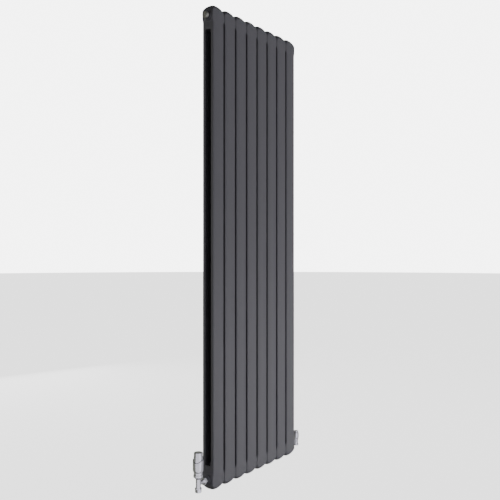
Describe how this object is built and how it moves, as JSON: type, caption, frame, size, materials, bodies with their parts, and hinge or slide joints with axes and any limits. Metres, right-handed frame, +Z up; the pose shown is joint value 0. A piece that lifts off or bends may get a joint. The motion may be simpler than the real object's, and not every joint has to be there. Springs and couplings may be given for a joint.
{
  "type": "column radiator",
  "caption": "Tall flat-tube column radiator with domed heads, an angled thermostatic valve at one foot and a lockshield valve at the other, on wall brackets.",
  "frame": {"origin": "on the wall face, at mid-height and mid-length, in the middle of the screw holes of the four wall brackets", "axes": "+X along the radiator from the thermostatic valve to the lockshield valve, +Y towards the wall, +Z up"},
  "size_m": [0.7241, 0.09, 1.8],
  "materials": {
    "radiator_paint": "satin anthracite powder coat",
    "bracket_paint": "satin anthracite powder coat",
    "chrome": "polished chrome plate on brass",
    "satin_chrome": "satin chrome plate",
    "brass": "machined",
    "bright_steel": "bright stainless",
    "zinc_steel": "zinc plated",
    "seal_rubber": "moulded EPDM",
    "pad_plastic": "moulded"
  },
  "bodies": {
    "radiator": {"section_1_top_head": "radiator_paint", "section_1_bottom_head": "radiator_paint", "section_2_top_head": "radiator_paint", "section_2_bottom_head": "radiator_paint", "section_3_top_head": "radiator_paint", "section_3_bottom_head": "radiator_paint", "section_4_top_head": "radiator_paint", "section_4_bottom_head": "radiator_paint", "section_5_top_head": "radiator_paint", "section_5_bottom_head": "radiator_paint", "section_6_top_head": "radiator_paint", "section_6_bottom_head": "radiator_paint", "section_7_top_head": "radiator_paint", "section_7_bottom_head": "radiator_paint", "section_8_top_head": "radiator_paint", "section_8_bottom_head": "radiator_paint", "section_1_tubes": "radiator_paint", "section_2_tubes": "radiator_paint", "section_3_tubes": "radiator_paint", "section_4_tubes": "radiator_paint", "section_5_tubes": "radiator_paint", "section_6_tubes": "radiator_paint", "section_7_tubes": "radiator_paint", "section_8_tubes": "radiator_paint", "hub_bushes": "radiator_paint", "blanking_plug": "chrome", "air_vent_plug": "chrome", "plug_seals": "seal_rubber", "radiator_tails": "chrome", "union_nuts": "chrome", "trv_body": "chrome", "trv_compression_nut": "chrome", "olives": "brass", "trv_insert": "brass", "trv_gland_nut": "brass", "trv_spring": "bright_steel", "trv_collar_nut": "satin_chrome", "trv_head_base": "satin_chrome", "lockshield_body": "chrome", "lockshield_compression_nut": "chrome", "lockshield_gland_nut": "brass", "wall_brackets": "bracket_paint", "bracket_pads": "pad_plastic", "clamp_bars": "bracket_paint", "clamp_bolts": "zinc_steel", "clamp_nuts": "zinc_steel"},
    "trv_handwheel": {"trv_grip": "satin_chrome", "trv_cap": "satin_chrome"},
    "trv_sensor": {"trv_sensor": "brass"},
    "trv_valve_pin": {"trv_pin": "bright_steel", "trv_disc": "seal_rubber"},
    "bleed_screw": {"bleed_screw": "bright_steel"},
    "lockshield_cap": {"lockshield_cap": "satin_chrome"},
    "lockshield_spindle": {"lockshield_spindle": "brass"},
    "lockshield_plug": {"lockshield_plug": "brass"}
  },
  "joints": [
    {"name": "trv_handwheel_turn", "type": "hinge", "parent": "radiator", "child": "trv_handwheel", "pos_m": [-0.346, -0.065, -0.8555], "axis": [0, 0, 1], "range_deg": [-150, 150]},
    {"name": "trv_sensor_slide", "type": "slide", "parent": "radiator", "child": "trv_sensor", "axis": [0, 0, 1], "range_m": [-0.001, 0.001]},
    {"name": "trv_pin_slide", "type": "slide", "parent": "radiator", "child": "trv_valve_pin", "axis": [0, 0, 1], "range_m": [-0.001, 0.001], "deforming": ["trv_spring"]},
    {"name": "bleed_screw_turn", "type": "hinge", "parent": "radiator", "child": "bleed_screw", "pos_m": [0.294, -0.065, 0.8555], "axis": [1, 0, 0], "range_deg": [0, 360]},
    {"name": "lockshield_cap_lift", "type": "slide", "parent": "radiator", "child": "lockshield_cap", "axis": [0, 0, 1], "range_m": [0, 0.04]},
    {"name": "lockshield_spindle_turn", "type": "hinge", "parent": "radiator", "child": "lockshield_spindle", "pos_m": [0.346, -0.065, -0.8555], "axis": [0, 0, 1], "range_deg": [-540, 540]},
    {"name": "lockshield_plug_slide", "type": "slide", "parent": "radiator", "child": "lockshield_plug", "axis": [0, 0, 1], "range_m": [-0.0015, 0.0015]}
  ],
  "couplings": [
    {"joint": "trv_sensor_slide", "follows": "trv_handwheel_turn", "m_per_rad": 0.00038},
    {"joint": "trv_pin_slide", "follows": "trv_handwheel_turn", "m_per_rad": 0.00038},
    {"joint": "lockshield_spindle_turn", "follows": "lockshield_plug_slide", "rad_per_m": 6283.2}
  ]
}
